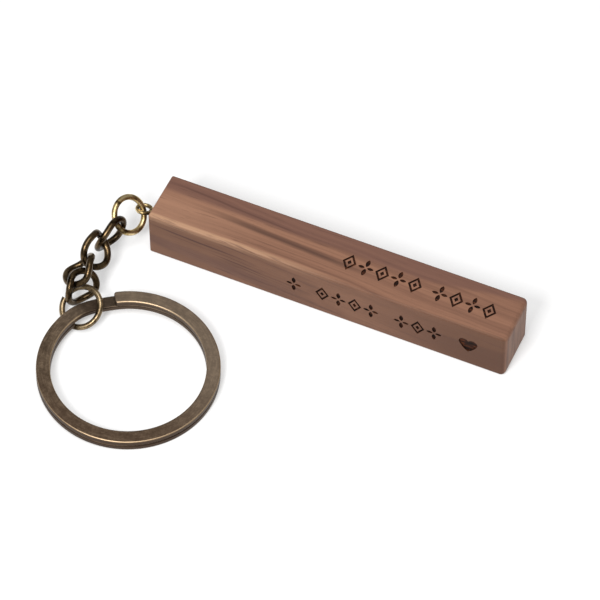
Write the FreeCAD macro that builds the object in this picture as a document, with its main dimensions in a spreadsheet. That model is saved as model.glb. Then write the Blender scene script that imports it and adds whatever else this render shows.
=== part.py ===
import FreeCAD, Part
import math
import os
import Sketcher
from FreeCAD import Placement, Rotation, Vector

# Engraved walnut bar keychain, in millimetres, Z up.
# The origin is the centre of the bar's bottom face; +X runs along the bar, away from the chain.
# The chain leaves the bar's -X end and lies on the table towards -Y, where the split ring is.

SIZES = [
    ("bar_length", 64.0, "overall length along X"),
    ("bar_width", 9.5, "square section, along Y"),
    ("bar_height", 9.5, "square section, along Z"),
    ("bar_edge_round", 0.35, "sanded long edges"),
    ("bar_end_round", 0.9, "softer rounding round the free end"),
    ("engraving_depth", 0.3, "depth of the burnt ornament"),
    ("motif_size", 3.4, "height of one engraved motif"),
    ("heart_size", 3.3, "height of the engraved heart"),
    ("row_pitch", 2.9, "engraved motifs, centre to centre"),
    ("top_row_start", 2.4, "top row's first motif along X"),
    ("top_row_break", 18.4, "first motif after the top row's gap"),
    ("front_row_start", -5.6, "front row's first motif along X"),
    ("front_row_middle", -0.5, "first motif after the front row's first gap"),
    ("front_row_break", 13.6, "first motif after the front row's second gap"),
    ("heart_place", 25.4, "heart along X"),
    ("top_row_offset", -0.2, "top row, from the bar's middle along Y"),
    ("front_row_height", 4.9, "front row, above the bottom face"),
    ("pilot_offset", -0.2, "screw hole, from the bar's middle along Y"),
    ("pilot_height", 4.5, "screw hole, above the bottom face"),
    ("pilot_depth", 7.4, "blind hole that the screw eye's shank fills"),
    ("eye_mean_radius", 1.2, "screw eye, centre line of the loop"),
    ("eye_wire", 0.7, "screw eye wire diameter"),
    ("eye_reach", 2.98, "loop's centre to the bar's end face"),
    ("eye_roll", 18, "how far the screw eye was turned home, about -X"),
    ("eye_opening_angle", 18.0, "gap where the loop closes on the shank"),
    ("shank_root", 1.0, "shank diameter at the thread's root"),
    ("shank_crest", 1.3, "shank diameter over the thread"),
    ("shank_depth", 6.8, "threaded length in the bar, point included"),
    ("thread_pitch", 0.7, "distance between thread ridges"),
    ("upper_ring_radius", 3.0, "upper jump ring, centre line"),
    ("upper_ring_wire", 1.0, "upper jump ring wire diameter"),
    ("upper_ring_gap", 1.5, "upper jump ring's closed cut, in degrees"),
    ("lower_ring_radius", 3.42, "lower jump ring, centre line"),
    ("lower_ring_wire", 1.0, "lower jump ring wire diameter"),
    ("lower_ring_gap", 16.0, "lower jump ring's open cut, in degrees"),
    ("first_link_length", 7.29, "link nearest the bar, overall"),
    ("first_link_width", 7.24, "link nearest the bar, overall before twisting"),
    ("first_link_twist", -12.5, "link nearest the bar, turn of one bow against the other"),
    ("link_length", 6.88, "other chain links, overall"),
    ("link_width", 6.83, "other chain links, overall before twisting"),
    ("link_wire", 1.15, "chain link wire diameter"),
    ("link_twist", -32, "turn of one bow against the other"),
    ("running_clearance", 0.1, "free gap between linked wires"),
    ("split_ring_diameter", 30.0, "split ring, outside"),
    ("split_ring_width", 2.3, "split ring wire, across its flat"),
    ("split_ring_thickness", 1.04, "split ring wire, one coil"),
    ("split_ring_seam", 0.06, "gap between the two coils"),
    ("split_ring_round", 0.22, "rounded corners of the flat wire"),
    ("split_ring_end_round", 0.5, "rounded corners of the cut ends"),
    ("crossover_start", 125.0, "angle of the upper coil's cut end"),
    ("crossover_end", 158.0, "angle of the lower coil's cut end"),
    ("split_ring_x", -23.91, "split ring's centre"),
    ("split_ring_y", -29.49, "split ring's centre"),
    ("split_ring_lean", 2.5, "lean over the jump ring, from the table"),
    ("split_ring_lift_towards", 150, "direction of the lifted side, from +X"),
    ("table_clearance", 0.02, "under the split ring's lowest edge"),
    ("upper_ring_seat", 243.9, "place held on the eye loop, in degrees"),
    ("upper_ring_slip", 8, "its own place that meets the held wire"),
    ("upper_ring_swing", 0.1, "swing about the held wire"),
    ("upper_ring_turn", -123.1, "turn across the held wire"),
    ("link_1_seat", 212, "place held on the upper ring, in degrees"),
    ("link_1_slip", 2.6, "its own place that meets the held wire"),
    ("link_1_swing", 8.5, "swing about the held wire"),
    ("link_1_turn", 44.8, "turn across the held wire"),
    ("link_2_seat", 24, "place held on the link before, in degrees"),
    ("link_2_slip", -45.3, "its own place that meets the held wire"),
    ("link_2_swing", 17.7, "swing about the held wire"),
    ("link_2_turn", 123.8, "turn across the held wire"),
    ("link_3_seat", -51.9, "place held on the link before, in degrees"),
    ("link_3_slip", 12.6, "its own place that meets the held wire"),
    ("link_3_swing", 7.4, "swing about the held wire"),
    ("link_3_turn", -123.3, "turn across the held wire"),
    ("link_4_seat", 20, "place held on the link before, in degrees"),
    ("link_4_slip", -95.3, "its own place that meets the held wire"),
    ("link_4_swing", 106.6, "swing about the held wire"),
    ("link_4_turn", 89.2, "turn across the held wire"),
    ("lower_ring_seat", 3.2, "place held on the last link, in degrees"),
    ("lower_ring_slip", 2, "its own place that meets the held wire"),
    ("lower_ring_swing", 97.2, "swing about the held wire"),
    ("lower_ring_turn", -94.5, "turn across the held wire"),
]

doc = FreeCAD.newDocument("walnut_bar_keychain")


def make_sizes():
    sheet = doc.addObject("Spreadsheet::Sheet", "Sizes")
    for row, (alias, value, note) in enumerate(SIZES, start=1):
        sheet.set(f"A{row}", alias)
        sheet.set(f"B{row}", str(value))
        sheet.set(f"C{row}", note)
        sheet.setAlias(f"B{row}", alias)
    doc.recompute()
    return sheet


sizes = make_sizes()


def size(alias):
    return float(getattr(sizes, alias))


# ---- helpers for bodies and sketches ----

def new_body(label):
    body = doc.addObject("PartDesign::Body", label)
    body.Label = label
    return body


def origin_plane(body, role):
    return next(plane for plane in body.Origin.OriginFeatures if plane.Role == role)


def new_sketch(body, name, role, offsets=None):
    sketch = body.newObject("Sketcher::SketchObject", name)
    sketch.AttachmentSupport = [(origin_plane(body, role), "")]
    sketch.MapMode = "FlatFace"
    for axis, expression in (offsets or {}).items():
        sketch.setExpression(f"AttachmentOffset.Base.{axis}", expression)
    return sketch


def bind(sketch, kind, references, value, expression):
    index = sketch.addConstraint(Sketcher.Constraint(kind, *references, value))
    sketch.setExpression(f"Constraints[{index}]", expression)


def arc_through(start, end, bulge):
    side = end - start
    outward = Vector(side.y, -side.x, 0).normalize()
    middle = (start + end) * 0.5 + outward * (bulge * side.Length)
    return Part.Arc(start, middle, end)


def outline(sketch, corners, scale, bulges=None):
    """A closed outline: corners and arc bulges are shares of the size that scale names."""
    unit = size(scale)
    bulges = bulges or [0] * len(corners)
    points = [Vector(x * unit, y * unit, 0) for x, y in corners]
    starts = []
    for number, bulge in enumerate(bulges):
        start = points[number]
        end = points[(number + 1) % len(points)]
        curve = arc_through(start, end, bulge) if bulge else Part.LineSegment(start, end)
        edge = sketch.addGeometry(curve)
        first = sketch.getPoint(edge, 1)
        start_end = 1 if (first - start).Length < (first - end).Length else 2
        starts.append((edge, start_end))
    for number, (edge, start_end) in enumerate(starts):
        following = starts[(number + 1) % len(starts)]
        sketch.addConstraint(Sketcher.Constraint("Coincident", edge, 3 - start_end, *following))
    for (edge, start_end), (x, y) in zip(starts, corners):
        bind(sketch, "DistanceX", (-1, 1, edge, start_end), x * unit, f"{x} * Sizes.{scale}")
        bind(sketch, "DistanceY", (-1, 1, edge, start_end), y * unit, f"{y} * Sizes.{scale}")
    for (edge, _), bulge, number in zip(starts, bulges, range(len(starts))):
        if bulge:
            chord = (points[(number + 1) % len(points)] - points[number]).Length / unit
            radius = chord * (0.25 + bulge ** 2) / (2 * abs(bulge))
            bind(sketch, "Radius", (edge,), radius * unit, f"{radius:.6f} * Sizes.{scale}")


def round_edges(body, name, belongs, radius):
    """Fillet the edges of the body whose end points all pass the test."""
    base = body.Tip
    chosen = []
    for number, edge in enumerate(base.Shape.Edges, start=1):
        if belongs(edge):
            chosen.append(f"Edge{number}")
    fillet = body.newObject("PartDesign::Fillet", name)
    fillet.Base = (base, chosen)
    fillet.setExpression("Radius", f"Sizes.{radius}")
    doc.recompute()
    return fillet


# ---- the bar and its engraving ----

def diamond_motif(sketch):
    outline(sketch, [(0.36, 0), (0, 0.5), (-0.36, 0), (0, -0.5)], "motif_size")
    outline(sketch, [(0.23, 0), (0, 0.32), (-0.23, 0), (0, -0.32)], "motif_size")
    outline(sketch, [(0.11, 0), (0, 0.15), (-0.11, 0), (0, -0.15)], "motif_size")


def petal_motif(sketch):
    leaf = [0.24, 0.24]
    outline(sketch, [(0, 0.06), (0, 0.5)], "motif_size", leaf)
    outline(sketch, [(0, -0.06), (0, -0.5)], "motif_size", leaf)
    outline(sketch, [(0.06, 0), (0.4, 0)], "motif_size", leaf)
    outline(sketch, [(-0.06, 0), (-0.4, 0)], "motif_size", leaf)


def heart_motif(sketch):
    corners = [(0, -0.5), (0.5, 0.14), (0, 0.3), (-0.5, 0.14)]
    outline(sketch, corners, "heart_size", [0.08, 0.4, 0.4, 0.08])


def engrave_row(body, name, motif, face, start, steps=0, count=1):
    """Cut a motif some pitches after a named start, and repeat it at every second pitch."""
    faces = {
        "top": ("XY_Plane", "Sizes.bar_height", "Sizes.top_row_offset"),
        "front": ("XZ_Plane", "Sizes.bar_width / 2", "Sizes.front_row_height"),
    }
    role, outward, across = faces[face]
    offsets = {"x": f"Sizes.{start} + {steps} * Sizes.row_pitch", "y": across, "z": outward}
    sketch = new_sketch(body, f"{name}_outline", role, offsets)
    motif(sketch)
    doc.recompute()
    before = body.Tip.Shape.Volume
    pocket = body.newObject("PartDesign::Pocket", f"{name}_pocket")
    pocket.Profile = sketch
    pocket.setExpression("Length", "Sizes.engraving_depth")
    doc.recompute()
    if count > 1:
        pattern = body.newObject("PartDesign::LinearPattern", f"{name}_row")
        pattern.Originals = [pocket]
        pattern.Direction = (sketch, ["H_Axis"])
        pattern.setExpression("Length", f"{2 * (count - 1)} * Sizes.row_pitch")
        pattern.Occurrences = count
        body.Tip = pattern
        doc.recompute()
    assert body.Tip.Shape.Volume < before, f"{name} removed nothing"


def make_wooden_bar():
    body = new_body("wooden_bar")
    sketch = new_sketch(body, "bar_section", "XY_Plane")
    half_length = size("bar_length") / 2
    half_width = size("bar_width") / 2
    corners = [(-1, -1), (1, -1), (1, 1), (-1, 1)]
    points = [Vector(x * half_length, y * half_width, 0) for x, y in corners]
    for number in range(4):
        sketch.addGeometry(Part.LineSegment(points[number], points[(number + 1) % 4]))
    for number in range(4):
        sketch.addConstraint(Sketcher.Constraint("Coincident", number, 2, (number + 1) % 4, 1))
        kind = "Vertical" if number % 2 else "Horizontal"
        sketch.addConstraint(Sketcher.Constraint(kind, number))
    sketch.addConstraint(Sketcher.Constraint("Symmetric", 0, 1, 2, 1, -1, 1))
    bind(sketch, "DistanceX", (0, 1, 0, 2), 2 * half_length, "Sizes.bar_length")
    bind(sketch, "DistanceY", (1, 1, 1, 2), 2 * half_width, "Sizes.bar_width")
    pad = body.newObject("PartDesign::Pad", "bar_blank")
    pad.Profile = sketch
    pad.setExpression("Length", "Sizes.bar_height")
    doc.recompute()

    def at_free_end(edge):
        return edge.BoundBox.XMin > half_length - 0.01

    def on_eye_end(edge):
        return edge.BoundBox.XMax < 0.01 - half_length

    def along_bar(edge):
        return edge.BoundBox.XLength > half_length and edge.BoundBox.YLength < 0.01

    round_edges(body, "free_end_rounding", at_free_end, "bar_end_round")
    round_edges(body, "long_edge_rounding", along_bar, "bar_edge_round")
    round_edges(body, "eye_end_rounding", on_eye_end, "bar_edge_round")

    engrave_row(body, "top_diamonds_a", diamond_motif, "top", "top_row_start", 0, 3)
    engrave_row(body, "top_petals_a", petal_motif, "top", "top_row_start", 1, 2)
    engrave_row(body, "top_petals_b", petal_motif, "top", "top_row_break", 0, 2)
    engrave_row(body, "top_diamonds_b", diamond_motif, "top", "top_row_break", 1, 2)
    engrave_row(body, "front_petal", petal_motif, "front", "front_row_start")
    engrave_row(body, "front_diamonds_a", diamond_motif, "front", "front_row_middle", 0, 2)
    engrave_row(body, "front_petals_a", petal_motif, "front", "front_row_middle", 1, 2)
    engrave_row(body, "front_petals_b", petal_motif, "front", "front_row_break", 0, 2)
    engrave_row(body, "front_diamond_b", diamond_motif, "front", "front_row_break", 1)
    engrave_row(body, "front_heart", heart_motif, "front", "heart_place")

    offsets = {"x": "Sizes.pilot_offset", "y": "Sizes.pilot_height", "z": "-Sizes.bar_length / 2"}
    mark = new_sketch(body, "pilot_mark", "YZ_Plane", offsets)
    circle = mark.addGeometry(Part.Circle(Vector(0, 0, 0), Vector(0, 0, 1), size("shank_crest") / 2))
    mark.addConstraint(Sketcher.Constraint("Coincident", circle, 3, -1, 1))
    bind(mark, "Diameter", (circle,), size("shank_crest"), "Sizes.shank_crest")
    doc.recompute()
    before = body.Tip.Shape.Volume
    hole = body.newObject("PartDesign::Hole", "pilot_hole")
    hole.Profile = mark
    hole.Reversed = True
    hole.DepthType = "Dimension"
    hole.DrillPoint = "Angled"
    hole.setExpression("Diameter", "Sizes.shank_crest + 0.02")
    hole.setExpression("Depth", "Sizes.pilot_depth")
    doc.recompute()
    assert body.Tip.Shape.Volume < before, "the pilot hole removed nothing"
    return body


# ---- screw eye and jump rings ----

def revolve_wire(body, name, mean_radius, wire, angle):
    """A round wire bent round the body's Z axis through the given angle."""
    sketch = new_sketch(body, f"{name}_section", "XZ_Plane")
    circle = Part.Circle(Vector(size(mean_radius), 0, 0), Vector(0, 0, 1), size(wire) / 2)
    edge = sketch.addGeometry(circle)
    sketch.addConstraint(Sketcher.Constraint("PointOnObject", edge, 3, -1))
    bind(sketch, "DistanceX", (-1, 1, edge, 3), size(mean_radius), f"Sizes.{mean_radius}")
    bind(sketch, "Diameter", (edge,), size(wire), f"Sizes.{wire}")
    bend = body.newObject("PartDesign::Revolution", name)
    bend.Profile = sketch
    bend.ReferenceAxis = (sketch, ["V_Axis"])
    bend.setExpression("Angle", angle)
    doc.recompute()
    return bend


def shank_profile():
    """Half outline of the shank: a plain neck, then thread ridges, then the point."""
    neck = size("eye_mean_radius")
    face = size("eye_reach")
    root = size("shank_root") / 2
    crest = size("shank_crest") / 2
    pitch = size("thread_pitch")
    tip = face + size("shank_depth")
    points = [(neck, 0), (neck, root), (face + pitch, root)]
    ridge = face + pitch
    while ridge < tip - 3 * pitch:
        points += [(ridge + pitch / 2, crest), (ridge + pitch, root)]
        ridge += pitch
    points.append((tip, 0))
    return points


def make_screw_eye():
    body = new_body("screw_eye")
    revolve_wire(body, "loop", "eye_mean_radius", "eye_wire", "360 - Sizes.eye_opening_angle")
    sketch = new_sketch(body, "shank_section", "XZ_Plane")
    points = shank_profile()
    for number, (x, z) in enumerate(points):
        following = points[(number + 1) % len(points)]
        sketch.addGeometry(Part.LineSegment(Vector(x, z, 0), Vector(*following, 0)))
    for number in range(len(points)):
        following = (number + 1) % len(points)
        sketch.addConstraint(Sketcher.Constraint("Coincident", number, 2, following, 1))
    sketch.addConstraint(Sketcher.Constraint("Block", 0))
    shank = body.newObject("PartDesign::Revolution", "shank")
    shank.Profile = sketch
    shank.ReferenceAxis = (sketch, ["H_Axis"])
    shank.Angle = 360
    doc.recompute()
    body.Placement = Placement(Vector(), Rotation(Vector(-1, 0, 0), size("eye_roll")))
    body.setExpression("Placement.Rotation.Angle", "Sizes.eye_roll")
    body.setExpression("Placement.Base.x", "-Sizes.bar_length / 2 - Sizes.eye_reach")
    body.setExpression("Placement.Base.y", "Sizes.pilot_offset")
    body.setExpression("Placement.Base.z", "Sizes.pilot_height")
    doc.recompute()
    return body


def make_jump_ring(label, prefix):
    body = new_body(label)
    revolve_wire(body, f"{prefix}_bend", f"{prefix}_radius", f"{prefix}_wire", f"360 - Sizes.{prefix}_gap")
    return body


# ---- chain links and split ring: round and flat wire on paths that leave the plane ----

def stadium_point(distance, straight, bow):
    """A point on a flat oval of two straights and two bows, at a distance along it."""
    half_turn = math.pi * bow
    if distance < 2 * straight:
        return distance - straight, bow
    distance -= 2 * straight
    if distance < half_turn:
        return straight + bow * math.sin(distance / bow), bow * math.cos(distance / bow)
    distance -= half_turn
    if distance < 2 * straight:
        return straight - distance, -bow
    distance -= 2 * straight
    return -straight - bow * math.sin(distance / bow), -bow * math.cos(distance / bow)


def link_size(number, name):
    """The first link is a little larger and flatter than the others."""
    return size(f"first_link_{name}" if number == 1 else f"link_{name}")


def link_reach(number):
    return (link_size(number, "length") - size("link_wire")) / 2


def link_bow(number):
    return (link_size(number, "width") - size("link_wire")) / 2


def twisted(number, x, y):
    """Turn a point of the flat oval about X: one bow one way, the other bow the other way."""
    share = max(-1.0, min(1.0, x / (0.8 * link_reach(number))))
    turn = math.radians(link_size(number, "twist")) / 2 * math.sin(share * math.pi / 2)
    return Vector(x, y * math.cos(turn), y * math.sin(turn))


def sweep_round_wire(curve, wire):
    """A closed round wire, swept in two halves that meet face to face."""
    first, last = curve.FirstParameter, curve.LastParameter
    middle = (first + last) / 2
    halves = []
    for start, end in ((first, middle), (middle, last)):
        circle = Part.makeCircle(wire / 2, curve.value(start), curve.tangent(start)[0])
        spine = Part.Wire(curve.toShape(start, end))
        halves.append(spine.makePipeShell([Part.Wire(circle)], True, False))
    return halves[0].fuse(halves[1]).removeSplitter().Solids[0]


def make_chain_link(number):
    points_round_link = 32
    bow = link_bow(number)
    straight = link_reach(number) - bow
    around = 4 * straight + 2 * math.pi * bow
    points = []
    for step in range(points_round_link):
        x, y = stadium_point(around * step / points_round_link, straight, bow)
        points.append(twisted(number, x, y))
    curve = Part.BSplineCurve()
    curve.interpolate(points, PeriodicFlag=True)
    link = doc.addObject("Part::Feature", f"chain_link_{number}")
    link.Label = f"chain_link_{number}"
    link.Shape = sweep_round_wire(curve, size("link_wire"))
    return link


def coil_height(turned, crossover):
    """Height of the wire's centre line, after turning so far from the upper cut end."""
    level = (size("split_ring_thickness") + size("split_ring_seam")) / 2
    if turned <= 360 - crossover:
        return level
    if turned >= 360:
        return -level
    share = (turned - 360 + crossover) / crossover
    return level * (1 - 2 * (3 * share ** 2 - 2 * share ** 3))


def stands_upright(edge):
    if len(edge.Vertexes) < 2:
        return False
    span = edge.Vertexes[1].Point - edge.Vertexes[0].Point
    return edge.Length < size("split_ring_width") and abs(span.z) > 0.97 * edge.Length


def make_split_ring():
    width = size("split_ring_width")
    thickness = size("split_ring_thickness")
    radius = (size("split_ring_diameter") - width) / 2
    start = size("crossover_start")
    crossover = size("crossover_end") - start
    whole_turn = 720 - crossover
    step = 11.0
    points = []
    for number in range(round(whole_turn / step) + 1):
        turned = whole_turn * number / round(whole_turn / step)
        angle = math.radians(start - turned)
        height = coil_height(turned, crossover)
        points.append(Vector(radius * math.cos(angle), radius * math.sin(angle), height))
    curve = Part.BSplineCurve()
    curve.interpolate(points)
    outward = Vector(points[0].x, points[0].y, 0).normalize()
    up = Vector(0, 0, 1)
    corners = []
    for across, along in ((-1, -1), (1, -1), (1, 1), (-1, 1)):
        corners.append(points[0] + outward * (across * width / 2) + up * (along * thickness / 2))
    pipe = Part.BRepOffsetAPI.MakePipeShell(Part.Wire(curve.toShape()))
    pipe.setBiNormalMode(up)
    pipe.add(Part.makePolygon(corners + [corners[0]]))
    pipe.build()
    pipe.makeSolid()
    coil = pipe.shape()
    upright = [edge for edge in coil.Edges if stands_upright(edge)]
    coil = coil.makeFillet(size("split_ring_end_round"), upright)
    rims = [edge for edge in coil.Edges if not stands_upright(edge)]
    ring = doc.addObject("Part::Feature", "split_ring")
    ring.Label = "split_ring"
    ring.Shape = coil.makeFillet(size("split_ring_round"), rims)
    return ring


# ---- the laid-out chain: every piece hangs on the wire of the one before it ----

class Contact:
    """A place on a wire's centre line: where it is, which way it runs, which way is inside."""

    def __init__(self, point, along, inward):
        self.point = point
        self.along = Vector(along).normalize()
        self.inward = Vector(inward - self.along * inward.dot(self.along)).normalize()

    def moved(self, placement):
        turn = placement.Rotation
        return Contact(placement.multVec(self.point), turn.multVec(self.along), turn.multVec(self.inward))


def on_ring(mean_radius, angle):
    turn = math.radians(angle)
    outward = Vector(math.cos(turn), math.sin(turn), 0)
    return Contact(outward * mean_radius, Vector(-outward.y, outward.x, 0), -outward)


def on_link(number, end, angle):
    """A place on a bow: end is 1 or -1, and angle is measured from that bow's tip."""
    bow = link_bow(number)
    straight = link_reach(number) - bow

    def place(turn):
        across = bow * math.sin(turn)
        reach = straight + bow * math.cos(turn)
        return twisted(number, end * reach, end * across)

    turn = math.radians(angle)
    small = 0.0001
    point = place(turn)
    return Contact(point, place(turn + small) - place(turn - small), Vector(end * straight, 0, 0) - point)


def hang(held, own, distance, swing, turn):
    """Placement of a piece whose own contact sits at a distance inside the held one."""
    swing = math.radians(swing)
    turn = math.radians(turn)
    side = held.along.cross(held.inward)
    inside = held.inward * math.cos(swing) + side * math.sin(swing)
    along = held.along * math.cos(turn) + inside.cross(held.along) * math.sin(turn)
    world = Rotation(along, -inside, along.cross(-inside), "XYZ")
    local = Rotation(own.along, own.inward, own.along.cross(own.inward), "XYZ")
    rotation = world * local.inverted()
    return Placement(held.point + inside * distance - rotation.multVec(own.point), rotation)


def eye_contact(eye):
    return on_ring(size("eye_mean_radius"), size("upper_ring_seat")).moved(eye.Placement)


def lay_ring(ring, prefix, held, held_wire):
    """Hang a jump ring on a held wire; its slip is measured from its own cut."""
    own = on_ring(size(f"{prefix}_radius"), size(f"{prefix}_slip"))
    gap = (held_wire + size(f"{prefix}_wire")) / 2 + size("running_clearance")
    ring.Placement = hang(held, own, gap, size(f"{prefix}_swing"), size(f"{prefix}_turn"))


def lay_link(link, number, held, held_wire):
    own = on_link(number, 1, size(f"link_{number}_slip"))
    gap = (held_wire + size("link_wire")) / 2 + size("running_clearance")
    link.Placement = hang(held, own, gap, size(f"link_{number}_swing"), size(f"link_{number}_turn"))


def lay_split_ring(ring):
    """The ring leans: it rests on the table opposite the crossover, which is lifted."""
    lean = size("split_ring_lean")
    lift_towards = math.radians(size("split_ring_lift_towards"))
    axis = Vector(math.sin(lift_towards), -math.cos(lift_towards), 0)
    stack = 2 * size("split_ring_thickness") + size("split_ring_seam")
    half_across = size("split_ring_diameter") / 2
    centre_height = stack / 2 * math.cos(math.radians(lean)) + half_across * math.sin(math.radians(lean))
    centre = Vector(size("split_ring_x"), size("split_ring_y"), centre_height + size("table_clearance"))
    ring.Placement = Placement(centre, Rotation(axis, lean))


def lay_out_chain(eye, upper_ring, links, lower_ring):
    """Place each piece on the one before and return the places where they are held."""
    held = eye_contact(eye)
    lay_ring(upper_ring, "upper_ring", held, size("eye_wire"))
    places = [held]
    held = on_ring(size("upper_ring_radius"), size("link_1_seat")).moved(upper_ring.Placement)
    held_wire = size("upper_ring_wire")
    for number, link in enumerate(links, start=1):
        lay_link(link, number, held, held_wire)
        places.append(held)
        following = "lower_ring_seat" if number == len(links) else f"link_{number + 1}_seat"
        held = on_link(number, -1, size(following)).moved(link.Placement)
        held_wire = size("link_wire")
    lay_ring(lower_ring, "lower_ring", held, held_wire)
    places.append(held)
    return places


def check_document():
    for thing in doc.Objects:
        assert not {"Invalid", "Error"} & set(thing.State), f"{thing.Label} failed: {thing.State}"


def write_parts(parts):
    os.makedirs("parts", exist_ok=True)
    for part in parts:
        shape = part.Shape
        assert not shape.isNull() and shape.isValid(), f"{part.Label} is not a valid shape"
        assert len(shape.Solids) == 1, f"{part.Label} is not one solid"
        shape.exportStep(f"parts/{part.Label}.step")


wooden_bar = make_wooden_bar()
screw_eye = make_screw_eye()
jump_ring_upper = make_jump_ring("jump_ring_upper", "upper_ring")
chain_links = [make_chain_link(number) for number in range(1, 5)]
jump_ring_lower = make_jump_ring("jump_ring_lower", "lower_ring")
split_ring = make_split_ring()

hinge_places = lay_out_chain(screw_eye, jump_ring_upper, chain_links, jump_ring_lower)
lay_split_ring(split_ring)
doc.recompute()
check_document()
write_parts([wooden_bar, screw_eye, jump_ring_upper, *chain_links, jump_ring_lower, split_ring])
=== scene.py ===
import math
import bpy
from mathutils import Matrix, Vector


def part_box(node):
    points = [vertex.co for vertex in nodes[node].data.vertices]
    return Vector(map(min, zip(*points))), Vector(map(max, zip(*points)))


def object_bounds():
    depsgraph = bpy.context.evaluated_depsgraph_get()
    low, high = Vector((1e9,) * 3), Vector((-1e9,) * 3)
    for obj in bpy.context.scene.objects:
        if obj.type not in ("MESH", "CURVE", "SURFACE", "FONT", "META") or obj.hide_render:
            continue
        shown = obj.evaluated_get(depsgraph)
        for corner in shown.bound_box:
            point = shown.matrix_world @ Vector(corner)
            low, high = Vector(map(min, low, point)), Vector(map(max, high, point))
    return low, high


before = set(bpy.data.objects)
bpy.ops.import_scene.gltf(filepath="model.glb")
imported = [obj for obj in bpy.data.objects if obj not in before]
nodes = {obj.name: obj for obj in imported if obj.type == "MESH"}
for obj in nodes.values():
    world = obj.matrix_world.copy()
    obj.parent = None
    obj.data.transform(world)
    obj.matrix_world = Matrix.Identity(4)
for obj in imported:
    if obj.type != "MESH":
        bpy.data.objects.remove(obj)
cad_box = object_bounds()
MM = 0.001
WHITE = (1.0, 1.0, 1.0, 1.0)


def rgb(red, green, blue):
    """A display colour, 0 to 255, as the linear colour that a shader takes."""
    linear = (((c / 255 + 0.055) / 1.055) ** 2.4 for c in (red, green, blue))
    return (*linear, 1.0)


class Graph:
    """A short way to write a node material. Values are numbers or sockets."""

    def __init__(self, name):
        self.material = bpy.data.materials.new(name)
        self.material.use_nodes = True
        self.tree = self.material.node_tree
        self.shader = self.tree.nodes["Principled BSDF"]

    def node(self, kind, inputs=None, **settings):
        made = self.tree.nodes.new(kind)
        for key, value in settings.items():
            setattr(made, key, value)
        for key, value in (inputs or {}).items():
            self.plug(made.inputs[key], value)
        return made

    def plug(self, socket, value):
        if isinstance(value, bpy.types.NodeSocket):
            self.tree.links.new(value, socket)
        else:
            socket.default_value = value

    def math(self, operation, first, second=0.0):
        return self.node("ShaderNodeMath", {0: first, 1: second}, operation=operation).outputs[0]

    def add(self, *terms):
        total = terms[0]
        for term in terms[1:]:
            total = self.math("ADD", total, term)
        return total

    def times(self, *terms):
        total = terms[0]
        for term in terms[1:]:
            total = self.math("MULTIPLY", total, term)
        return total

    def size(self, value):
        """The value without its sign."""
        return self.math("ABSOLUTE", value)

    def step(self, value, low, high):
        """0 below low, 1 above high, smooth between; low may be above high."""
        inputs = {"Value": value, "From Min": low, "From Max": high, "To Min": 0.0, "To Max": 1.0}
        made = self.node("ShaderNodeMapRange", inputs, interpolation_type="SMOOTHSTEP")
        return made.outputs["Result"]

    def between(self, value, low, high, soft):
        rise = self.step(value, low - soft, low + soft)
        return self.times(rise, self.step(value, high + soft, high - soft))

    def mix(self, share, first, second):
        return self.node("ShaderNodeMix", {0: share, 6: first, 7: second}, data_type="RGBA").outputs[2]

    def place(self):
        """Object coordinates in millimetres."""
        source = self.node("ShaderNodeTexCoord").outputs["Object"]
        inputs = {0: source, "Scale": 1 / MM}
        return self.node("ShaderNodeVectorMath", inputs, operation="SCALE").outputs[0]

    def facing_up(self):
        """1 where the surface faces up at rest, -1 where it faces down."""
        return self.split(self.node("ShaderNodeTexCoord").outputs["Normal"])[2]

    def split(self, vector):
        return self.node("ShaderNodeSeparateXYZ", {"Vector": vector}).outputs

    def join(self, x, y, z):
        return self.node("ShaderNodeCombineXYZ", {"X": x, "Y": y, "Z": z}).outputs[0]

    def stretch(self, vector, x, y, z):
        inputs = {0: vector, 1: (x, y, z)}
        return self.node("ShaderNodeVectorMath", inputs, operation="MULTIPLY").outputs[0]

    def noise(self, vector, scale, detail=2.0, roughness=0.5):
        inputs = {"Vector": vector, "Scale": scale, "Detail": detail, "Roughness": roughness}
        return self.node("ShaderNodeTexNoise", inputs).outputs["Fac"]

    def ramp(self, value, stops):
        made = self.node("ShaderNodeValToRGB", {"Fac": value})
        elements = made.color_ramp.elements
        while len(elements) < len(stops):
            elements.new(0.5)
        for element, (position, colour) in zip(elements, stops):
            element.position = position
            element.color = colour
        return made.outputs["Color"]

    def bump(self, height, strength, distance):
        inputs = {"Height": height, "Strength": strength, "Distance": distance * MM}
        self.plug(self.shader.inputs["Normal"], self.node("ShaderNodeBump", inputs).outputs[0])

    def finish(self, **inputs):
        for name, value in inputs.items():
            self.plug(self.shader.inputs[name.replace("_", " ")], value)
        return self.material


# ---- walnut; x runs along the bar, -32 at the chain and 32 at the free end, z is up ----

def plain_wood(g, xyz, wander, fibre, calm):
    """The ground tone: wide growth rings, finer streaks and fibre, quieter where calm."""
    x, y, z = xyz
    across = g.add(y, g.times(z, 0.2), g.times(x, 0.045), g.times(wander, 3.4))
    rings = g.noise(g.join(g.times(across, 0.7), g.times(x, 0.006), 0.0), 1.0)
    lines = g.join(g.times(x, 0.022), g.times(across, 2.6), g.times(z, 0.35))
    streaks = g.noise(lines, 1.0, 3.0)
    lively = g.times(g.add(streaks, -0.5), g.add(0.34, g.times(calm, -0.2)))
    tone = g.times(g.add(rings, -0.5), 0.5)
    tone = g.add(tone, lively, g.times(g.add(fibre, -0.5), 0.2), 0.5)
    return g.ramp(tone, [
        (0.36, rgb(108, 76, 61)),
        (0.48, rgb(126, 90, 72)),
        (0.56, rgb(136, 98, 78)),
        (0.7, rgb(150, 110, 87)),
    ])


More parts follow.
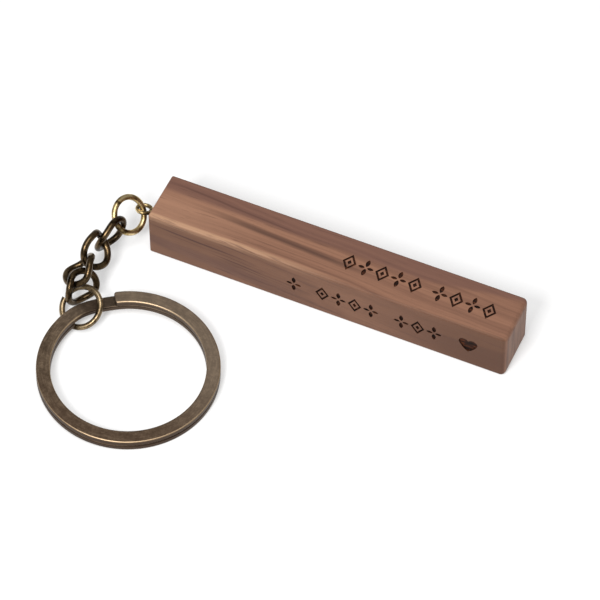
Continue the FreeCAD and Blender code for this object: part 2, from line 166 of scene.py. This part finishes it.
def top_figure(g, wood, xyz, wander):
    """Pale sapwood near the chain, a dark back edge, and two dark streaks along the top."""
    x, y, z = xyz
    high = g.step(z, 7.4, 9.3)
    near_top = g.add(0.25, g.times(high, 0.75))
    pale = g.times(g.step(x, -6.0, -32.0), g.step(y, 2.4, -1.0), near_top)
    wood = g.mix(g.times(pale, 0.55), wood, rgb(162, 122, 98))

    back_edge = g.add(y, g.times(wander, 1.6), g.times(g.step(x, 14.0, 33.0), -2.2))
    back = g.times(g.step(back_edge, 1.0, 2.0), high)
    wood = g.mix(g.times(back, 0.6), wood, rgb(98, 69, 62))

    line = g.add(y, g.times(x, 0.058), 1.0, g.times(wander, 0.9))
    broad = g.times(g.step(g.size(line), 0.95, 0.05), g.between(x, -20.0, 3.0, 7.0), high)
    wood = g.mix(g.times(broad, 0.75), wood, rgb(74, 52, 44))
    thin = g.step(g.size(g.add(line, -2.35)), 0.28, 0.02)
    thin = g.times(thin, g.between(x, -29.0, -8.0, 3.0), high, 0.6)
    return g.mix(thin, wood, rgb(84, 58, 50))


def front_figure(g, wood, xyz, wander):
    """The front: painted shade over the whole face, deeper towards the free end, a painted highlight
    along the top edge near the chain, fine lines and dark threads.
    """
    x, y, z = xyz
    front = g.step(y, -4.2, -4.7)
    free = g.step(x, 8.0, 32.0)
    # painted shade: the whole front face is darkened, more towards the free end
    wood = g.mix(g.times(front, g.add(0.46, g.times(free, 0.34))), wood, rgb(82, 53, 36))

    level = g.add(z, g.times(x, 0.07), g.times(wander, 2.2))
    low = g.times(g.between(level, 0.2, 2.6, 0.5), g.step(x, 4.0, -20.0))
    wood = g.mix(g.times(front, low, 0.45), wood, rgb(88, 62, 56))
    # painted highlight: a pale glint along the top edge of the front face, near the chain end
    rim = g.times(g.between(y, -4.75, -3.9, 0.25), g.step(z, 8.3, 8.9), g.step(x, 6.0, -18.0))
    wood = g.mix(g.times(rim, 0.5), wood, rgb(196, 156, 124))
    band = g.times(g.step(g.add(z, g.times(x, -0.06)), 4.6, 3.8), g.step(x, 6.0, 22.0))
    wood = g.mix(g.times(front, band, 0.3), wood, rgb(70, 46, 38))

    hair = g.noise(g.join(g.times(x, 0.08), g.times(y, 0.3), g.times(level, 3.2)), 1.0, 3.0, 0.65)
    bold = g.add(0.4, g.times(g.step(x, 2.0, -16.0), 0.3))
    wood = g.mix(g.times(front, g.step(hair, 0.56, 0.68), bold), wood, rgb(78, 53, 45))
    threads = (
        (5.2, -31.0, -9.0, 0.34),
        (3.5, -20.0, -3.0, 0.26),
        (1.5, -26.0, 2.0, 0.4),
    )
    for height, start, stop, width in threads:
        thread = g.step(g.size(g.add(level, -height)), width, 0.02)
        thread = g.times(thread, g.between(x, start, stop, 3.0), g.step(hair, 0.4, 0.56))
        wood = g.mix(g.times(front, thread, 0.75), wood, rgb(70, 46, 40))
    return wood


def end_grain(g, wood, xyz):
    x, y, z = xyz
    end = g.step(g.size(x), 31.75, 31.98)
    bands = g.noise(g.join(g.times(y, 1.0), g.times(z, 0.1), 4.0), 1.0)
    banded = g.ramp(bands, [
        (0.34, rgb(113, 81, 66)),
        (0.5, rgb(136, 101, 82)),
        (0.68, rgb(147, 110, 89)),
    ])
    return g.mix(g.times(end, 0.85), wood, banded)


def burnt_share(g, xyz):
    """1 on the engraved floors and walls, which lie just inside the top and the front."""
    x, y, z = xyz
    along = g.step(g.size(x), 30.6, 30.4)
    on_top = g.times(g.between(z, 9.0, 9.46, 0.015), g.step(g.size(y), 4.3, 4.2), along)
    on_front = g.times(g.between(y, -4.71, -4.2, 0.015), g.between(z, 0.6, 8.9, 0.1), along)
    return g.math("MAXIMUM", on_top, on_front)


def walnut():
    g = Graph("walnut")
    place = g.place()
    xyz = g.split(place)
    wander = g.add(g.noise(g.stretch(place, 0.03, 0.12, 0.12), 1.0), -0.5)
    fibre = g.noise(g.stretch(place, 0.22, 8.0, 8.0), 1.0, 3.0, 0.6)
    calm = g.step(xyz[0], -4.0, 14.0)
    wood = plain_wood(g, xyz, wander, fibre, calm)
    wood = top_figure(g, wood, xyz, wander)
    wood = front_figure(g, wood, xyz, wander)
    wood = end_grain(g, wood, xyz)

    dashes = g.noise(g.stretch(place, 0.2, 4.6, 4.6), 1.0, 2.0, 0.6)
    fleck = g.times(g.step(dashes, 0.6, 0.72), g.add(1.0, g.times(calm, -0.45)))
    wood = g.mix(g.times(fleck, 0.42), wood, rgb(78, 54, 46))
    pore = g.step(g.noise(g.stretch(place, 1.0, 15.0, 15.0), 1.0, 2.0, 0.7), 0.62, 0.74)
    wood = g.mix(g.times(pore, 0.28), wood, rgb(66, 44, 36))

    burnt = burnt_share(g, xyz)
    scorch = g.noise(g.stretch(place, 0.5, 2.6, 2.6), 1.0, 3.0, 0.6)
    char = g.ramp(scorch, [
        (0.36, rgb(14, 4, 1)),
        (0.54, rgb(44, 18, 5)),
        (0.66, rgb(86, 46, 24)),
    ])
    g.bump(g.add(g.times(fibre, 0.6), g.times(pore, -0.5)), 0.35, 0.05)
    rough = g.add(0.46, g.times(fibre, 0.16), g.times(burnt, 0.25))
    colour = g.mix(burnt, wood, char)
    return g.finish(Base_Color=colour, Roughness=rough, Specular_IOR_Level=0.2)


# ---- metals ----

def bronze(name, dark, body, worn, roughness, rubbing, aged):
    """Antique-plated wire: painted shade on the faces that point down at rest, brighter where it has
    rubbed.

    The more rubbing, the more of the wire is bright. The share called aged is how much
    darker the wire gets away from the bar.
    """
    g = Graph(name)
    place = g.place()
    cloud = g.noise(place, 0.5, 3.0, 0.6)
    grit = g.noise(place, 6.0, 3.0, 0.7)
    bright = g.add(g.times(cloud, 0.7), g.times(grit, 0.3))
    rubbed = g.step(bright, 0.62 - rubbing, 0.86 - rubbing)
    away = g.step(g.split(place)[1], -8.0, -22.0)
    # painted shade: surfaces that face down at rest are darkened towards the dark colour
    shaded_underside = g.step(g.facing_up(), 0.25, -0.7)
    colour = g.mix(g.step(cloud, 0.34, 0.54), rgb(*dark), rgb(*body))
    colour = g.mix(rubbed, colour, rgb(*worn))
    colour = g.mix(g.times(away, aged), colour, rgb(*dark))
    colour = g.mix(g.times(shaded_underside, 0.8), colour, rgb(*dark))
    rough = g.add(roughness, g.times(grit, 0.16), g.times(rubbed, -0.06))
    g.bump(grit, 0.06, 0.02)
    return g.finish(Base_Color=colour, Metallic=1.0, Roughness=rough)


def brushed_ring(centre, axis):
    """Flat wire with brushed, mottled faces, painted light and shade across the faces and walls, and
    corners worn bright, partly a painted highlight.
    """
    inner, outer, half_height = 12.7, 15.0, 1.07
    g = Graph("brushed_bronze")
    place = g.place()
    offset = g.node("ShaderNodeVectorMath", {0: place, 1: centre}, operation="SUBTRACT").outputs[0]
    dot = g.node("ShaderNodeVectorMath", {0: offset, 1: axis}, operation="DOT_PRODUCT")
    rise = dot.outputs["Value"]
    east, north, _ = g.split(offset)
    radius = g.math("SQRT", g.add(g.times(east, east), g.times(north, north)))
    around = g.times(g.math("ARCTAN2", north, east), 14.0)

    cloud = g.noise(place, 0.7, 4.0, 0.65)
    speck = g.noise(place, 3.2, 4.0, 0.7)
    lines = g.join(g.times(radius, 7.0), g.times(around, 0.5), g.times(rise, 7.0))
    brush = g.noise(lines, 1.0, 3.0)
    tone = g.add(g.times(cloud, 0.45), g.times(speck, 0.3), g.times(brush, 0.32))
    colour = g.ramp(tone, [
        (0.38, rgb(78, 64, 51)),
        (0.52, rgb(110, 93, 76)),
        (0.66, rgb(146, 126, 104)),
    ])
    # painted light: the faces grow paler towards the north-east side
    painted_lit_side = g.step(g.add(g.times(east, 0.5), north), -9.0, 12.0)
    colour = g.mix(g.times(painted_lit_side, 0.34), colour, rgb(176, 158, 138))
    # painted shade: the faces grow darker and browner towards the south-west side
    painted_shaded_side = g.step(g.add(g.times(east, -0.3), north), 2.0, -13.0)
    colour = g.mix(g.times(painted_shaded_side, 0.4), colour, rgb(84, 62, 48))

    from_rim = g.math("MINIMUM", g.add(radius, -inner), g.math("SUBTRACT", outer, radius))
    from_face = g.math("SUBTRACT", half_height, g.size(rise))
    facing = g.facing_up()
    upright = g.step(g.size(facing), 0.8, 0.5)
    # painted shade: the side walls are darkened, more where they stand upright
    wall = g.times(g.step(from_face, 0.1, 0.3), g.add(0.5, g.times(upright, 0.35)))
    colour = g.mix(wall, colour, rgb(66, 51, 40))
    # corners worn bright, partly a painted highlight along the edges
    corner = g.times(g.step(from_rim, 0.16, 0.08), g.step(from_face, 0.14, 0.06))
    colour = g.mix(g.times(corner, 0.8), colour, rgb(198, 172, 138))
    # painted shade: faces that point up on the lower coil, under the upper coil, are darkened
    shaded_lower_face = g.times(g.step(rise, 0.35, -0.45), g.step(facing, 0.5, 0.8))
    colour = g.mix(g.times(shaded_lower_face, 0.85), colour, rgb(40, 30, 22))
    seam = g.times(g.step(g.size(rise), 0.2, 0.05), upright, 0.8)
    colour = g.mix(seam, colour, rgb(30, 23, 18))
    g.bump(g.add(speck, g.times(brush, 0.5)), 0.15, 0.03)
    rough = g.add(0.38, g.times(speck, 0.2))
    return g.finish(Base_Color=colour, Metallic=1.0, Roughness=rough)


def ring_frame():
    """The split ring's middle, in millimetres, and the direction of its axis."""
    lean = math.radians(2.5)
    lifted_side = math.radians(150)
    low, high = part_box("split_ring")
    sideways = -math.sin(lean)
    axis = (math.cos(lifted_side) * sideways, math.sin(lifted_side) * sideways, math.cos(lean))
    return (low + high) / 2 / MM, Vector(axis)


def dress(node, material):
    mesh = nodes[node].data
    mesh.materials.clear()
    mesh.materials.append(material)


# ---- floor and backdrop ----

def white_floor():
    """White matte that also glows, so that thin shadows stay pale."""
    g = Graph("floor_white")
    patches = g.noise(g.place(), 0.02)
    colour = g.mix(patches, (0.54, 0.54, 0.54, 1.0), (0.56, 0.56, 0.56, 1.0))
    light = {"Emission_Color": WHITE, "Emission_Strength": 0.4}
    return g.finish(Base_Color=colour, Roughness=0.8, Specular_IOR_Level=0.1, **light)


def add_to_scene(name, data):
    made = bpy.data.objects.new(name, data)
    bpy.context.scene.collection.objects.link(made)
    return made


def add_floor(height):
    reach = 1.5
    mesh = bpy.data.meshes.new("floor")
    square = ((-reach, -reach), (reach, -reach), (reach, reach), (-reach, reach))
    mesh.from_pydata([(x, y, height) for x, y in square], [], [(0, 1, 2, 3)])
    mesh.materials.append(white_floor())
    floor = add_to_scene("floor", mesh)
    keep_under_pieces(floor, height)


def keep_under_pieces(floor, height):
    """Let the floor drop to the lowest piece where the chain swings below the bar."""
    tree = bpy.data.node_groups.new("floor_under_pieces", "GeometryNodeTree")
    for way in ("INPUT", "OUTPUT"):
        tree.interface.new_socket("Geometry", in_out=way, socket_type="NodeSocketGeometry")

    def make(kind, **settings):
        made = tree.nodes.new(kind)
        for key, value in settings.items():
            setattr(made, key, value)
        return made

    everything = make("GeometryNodeJoinGeometry")
    for node in nodes.values():
        piece = make("GeometryNodeObjectInfo", transform_space="RELATIVE")
        piece.inputs["Object"].default_value = node
        tree.links.new(piece.outputs["Geometry"], everything.inputs[0])
    box = make("GeometryNodeBoundBox")
    corner = make("ShaderNodeSeparateXYZ")
    above = make("ShaderNodeMath", operation="SUBTRACT")
    above.inputs[1].default_value = height
    drop = make("ShaderNodeMath", operation="MINIMUM")
    drop.inputs[1].default_value = 0.0
    offset = make("ShaderNodeCombineXYZ")
    move = make("GeometryNodeSetPosition")
    tree.links.new(everything.outputs[0], box.inputs["Geometry"])
    tree.links.new(box.outputs["Min"], corner.inputs[0])
    tree.links.new(corner.outputs[2], above.inputs[0])
    tree.links.new(above.outputs[0], drop.inputs[0])
    tree.links.new(drop.outputs[0], offset.inputs[2])
    tree.links.new(make("NodeGroupInput").outputs[0], move.inputs["Geometry"])
    tree.links.new(offset.outputs[0], move.inputs["Offset"])
    tree.links.new(move.outputs[0], make("NodeGroupOutput").inputs[0])
    floor.modifiers.new("under_pieces", "NODES").node_group = tree


def add_backdrop():
    """A pale wall far off on every side, seen only from near the floor. It lights nothing."""
    sides = 64
    radius = 1.45
    turn = math.tau / sides
    ring = [(math.cos(k * turn) * radius, math.sin(k * turn) * radius) for k in range(sides)]
    corners = [(x, y, z) for z in (-0.2, 2.0) for x, y in ring]
    faces = [(k, (k + 1) % sides, (k + 1) % sides + sides, k + sides) for k in range(sides)]
    mesh = bpy.data.meshes.new("backdrop")
    mesh.from_pydata(corners, [], faces)
    g = Graph("backdrop_white")
    light = {"Emission_Color": WHITE, "Emission_Strength": 0.6}
    mesh.materials.append(g.finish(Base_Color=(0.0, 0.0, 0.0, 1.0), Specular_IOR_Level=0.0, **light))
    backdrop = add_to_scene("backdrop", mesh)
    for ray in ("diffuse", "glossy", "transmission", "volume_scatter", "shadow"):
        setattr(backdrop, f"visible_{ray}", False)


# ---- light and camera ----

def direction(azimuth, elevation):
    """Unit vector from the scene towards an azimuth (0 is -Y, 90 is +X) and elevation."""
    a = math.radians(azimuth)
    e = math.radians(elevation)
    return Vector((math.sin(a) * math.cos(e), -math.cos(a) * math.cos(e), math.sin(e)))


def add_softbox(name, azimuth, elevation, side, power):
    """A square lamp 0.6 m away that faces the middle of the scene."""
    data = bpy.data.lights.new(name, "AREA")
    data.shape = "RECTANGLE"
    data.size = side
    data.size_y = side
    data.energy = power
    lamp = add_to_scene(name, data)
    away = direction(azimuth, elevation)
    lamp.location = away * 0.6
    lamp.rotation_mode = "QUATERNION"
    lamp.rotation_quaternion = away.to_track_quat("Z", "Y")


def light_room():
    world = bpy.data.worlds.new("room")
    world.use_nodes = True
    background = world.node_tree.nodes["Background"]
    background.inputs["Color"].default_value = WHITE
    background.inputs["Strength"].default_value = 0.3
    bpy.context.scene.world = world
    add_softbox("overhead", azimuth=12.0, elevation=78.0, side=0.4, power=2.1)
    add_softbox("key", azimuth=-4.0, elevation=46.0, side=0.16, power=2.5)
    bpy.context.scene.view_settings.view_transform = "Standard"


def add_camera():
    target = Vector((-4.85, -3.93, 0.0)) * MM
    distance = 638.3 * MM
    roll = math.radians(-0.37)
    back = direction(24.53, 52.31)
    right = Vector((0.0, 0.0, 1.0)).cross(back).normalized()
    up = back.cross(right)
    level = Matrix((right, up, back)).transposed()
    data = bpy.data.cameras.new("camera")
    data.sensor_width = 36.0
    data.lens = 231.7
    data.clip_start = 0.01
    data.clip_end = 10.0
    camera = add_to_scene("camera", data)
    camera.rotation_mode = "QUATERNION"
    camera.rotation_quaternion = (level @ Matrix.Rotation(roll, 3, "Z")).to_quaternion()
    camera.location = target + back * distance
    bpy.context.scene.camera = camera


brass = bronze(
    "antique_brass", dark=(76, 60, 36), body=(198, 173, 122), worn=(246, 228, 184),
    roughness=0.28, rubbing=0.16, aged=0.4)
tarnished = bronze(
    "tarnished_brass", dark=(58, 46, 32), body=(148, 128, 98), worn=(232, 214, 180),
    roughness=0.26, rubbing=0.12, aged=0.0)
links = bronze(
    "dark_bronze", dark=(34, 26, 17), body=(94, 77, 54), worn=(176, 152, 114),
    roughness=0.2, rubbing=0.07, aged=0.1)

dress("wooden_bar", walnut())
dress("screw_eye", brass)
dress("jump_ring_upper", brass)
for number in range(1, 5):
    dress(f"chain_link_{number}", links)
dress("jump_ring_lower", tarnished)
dress("split_ring", brushed_ring(*ring_frame()))

add_floor(cad_box[0].z)
add_backdrop()
light_room()
add_camera()
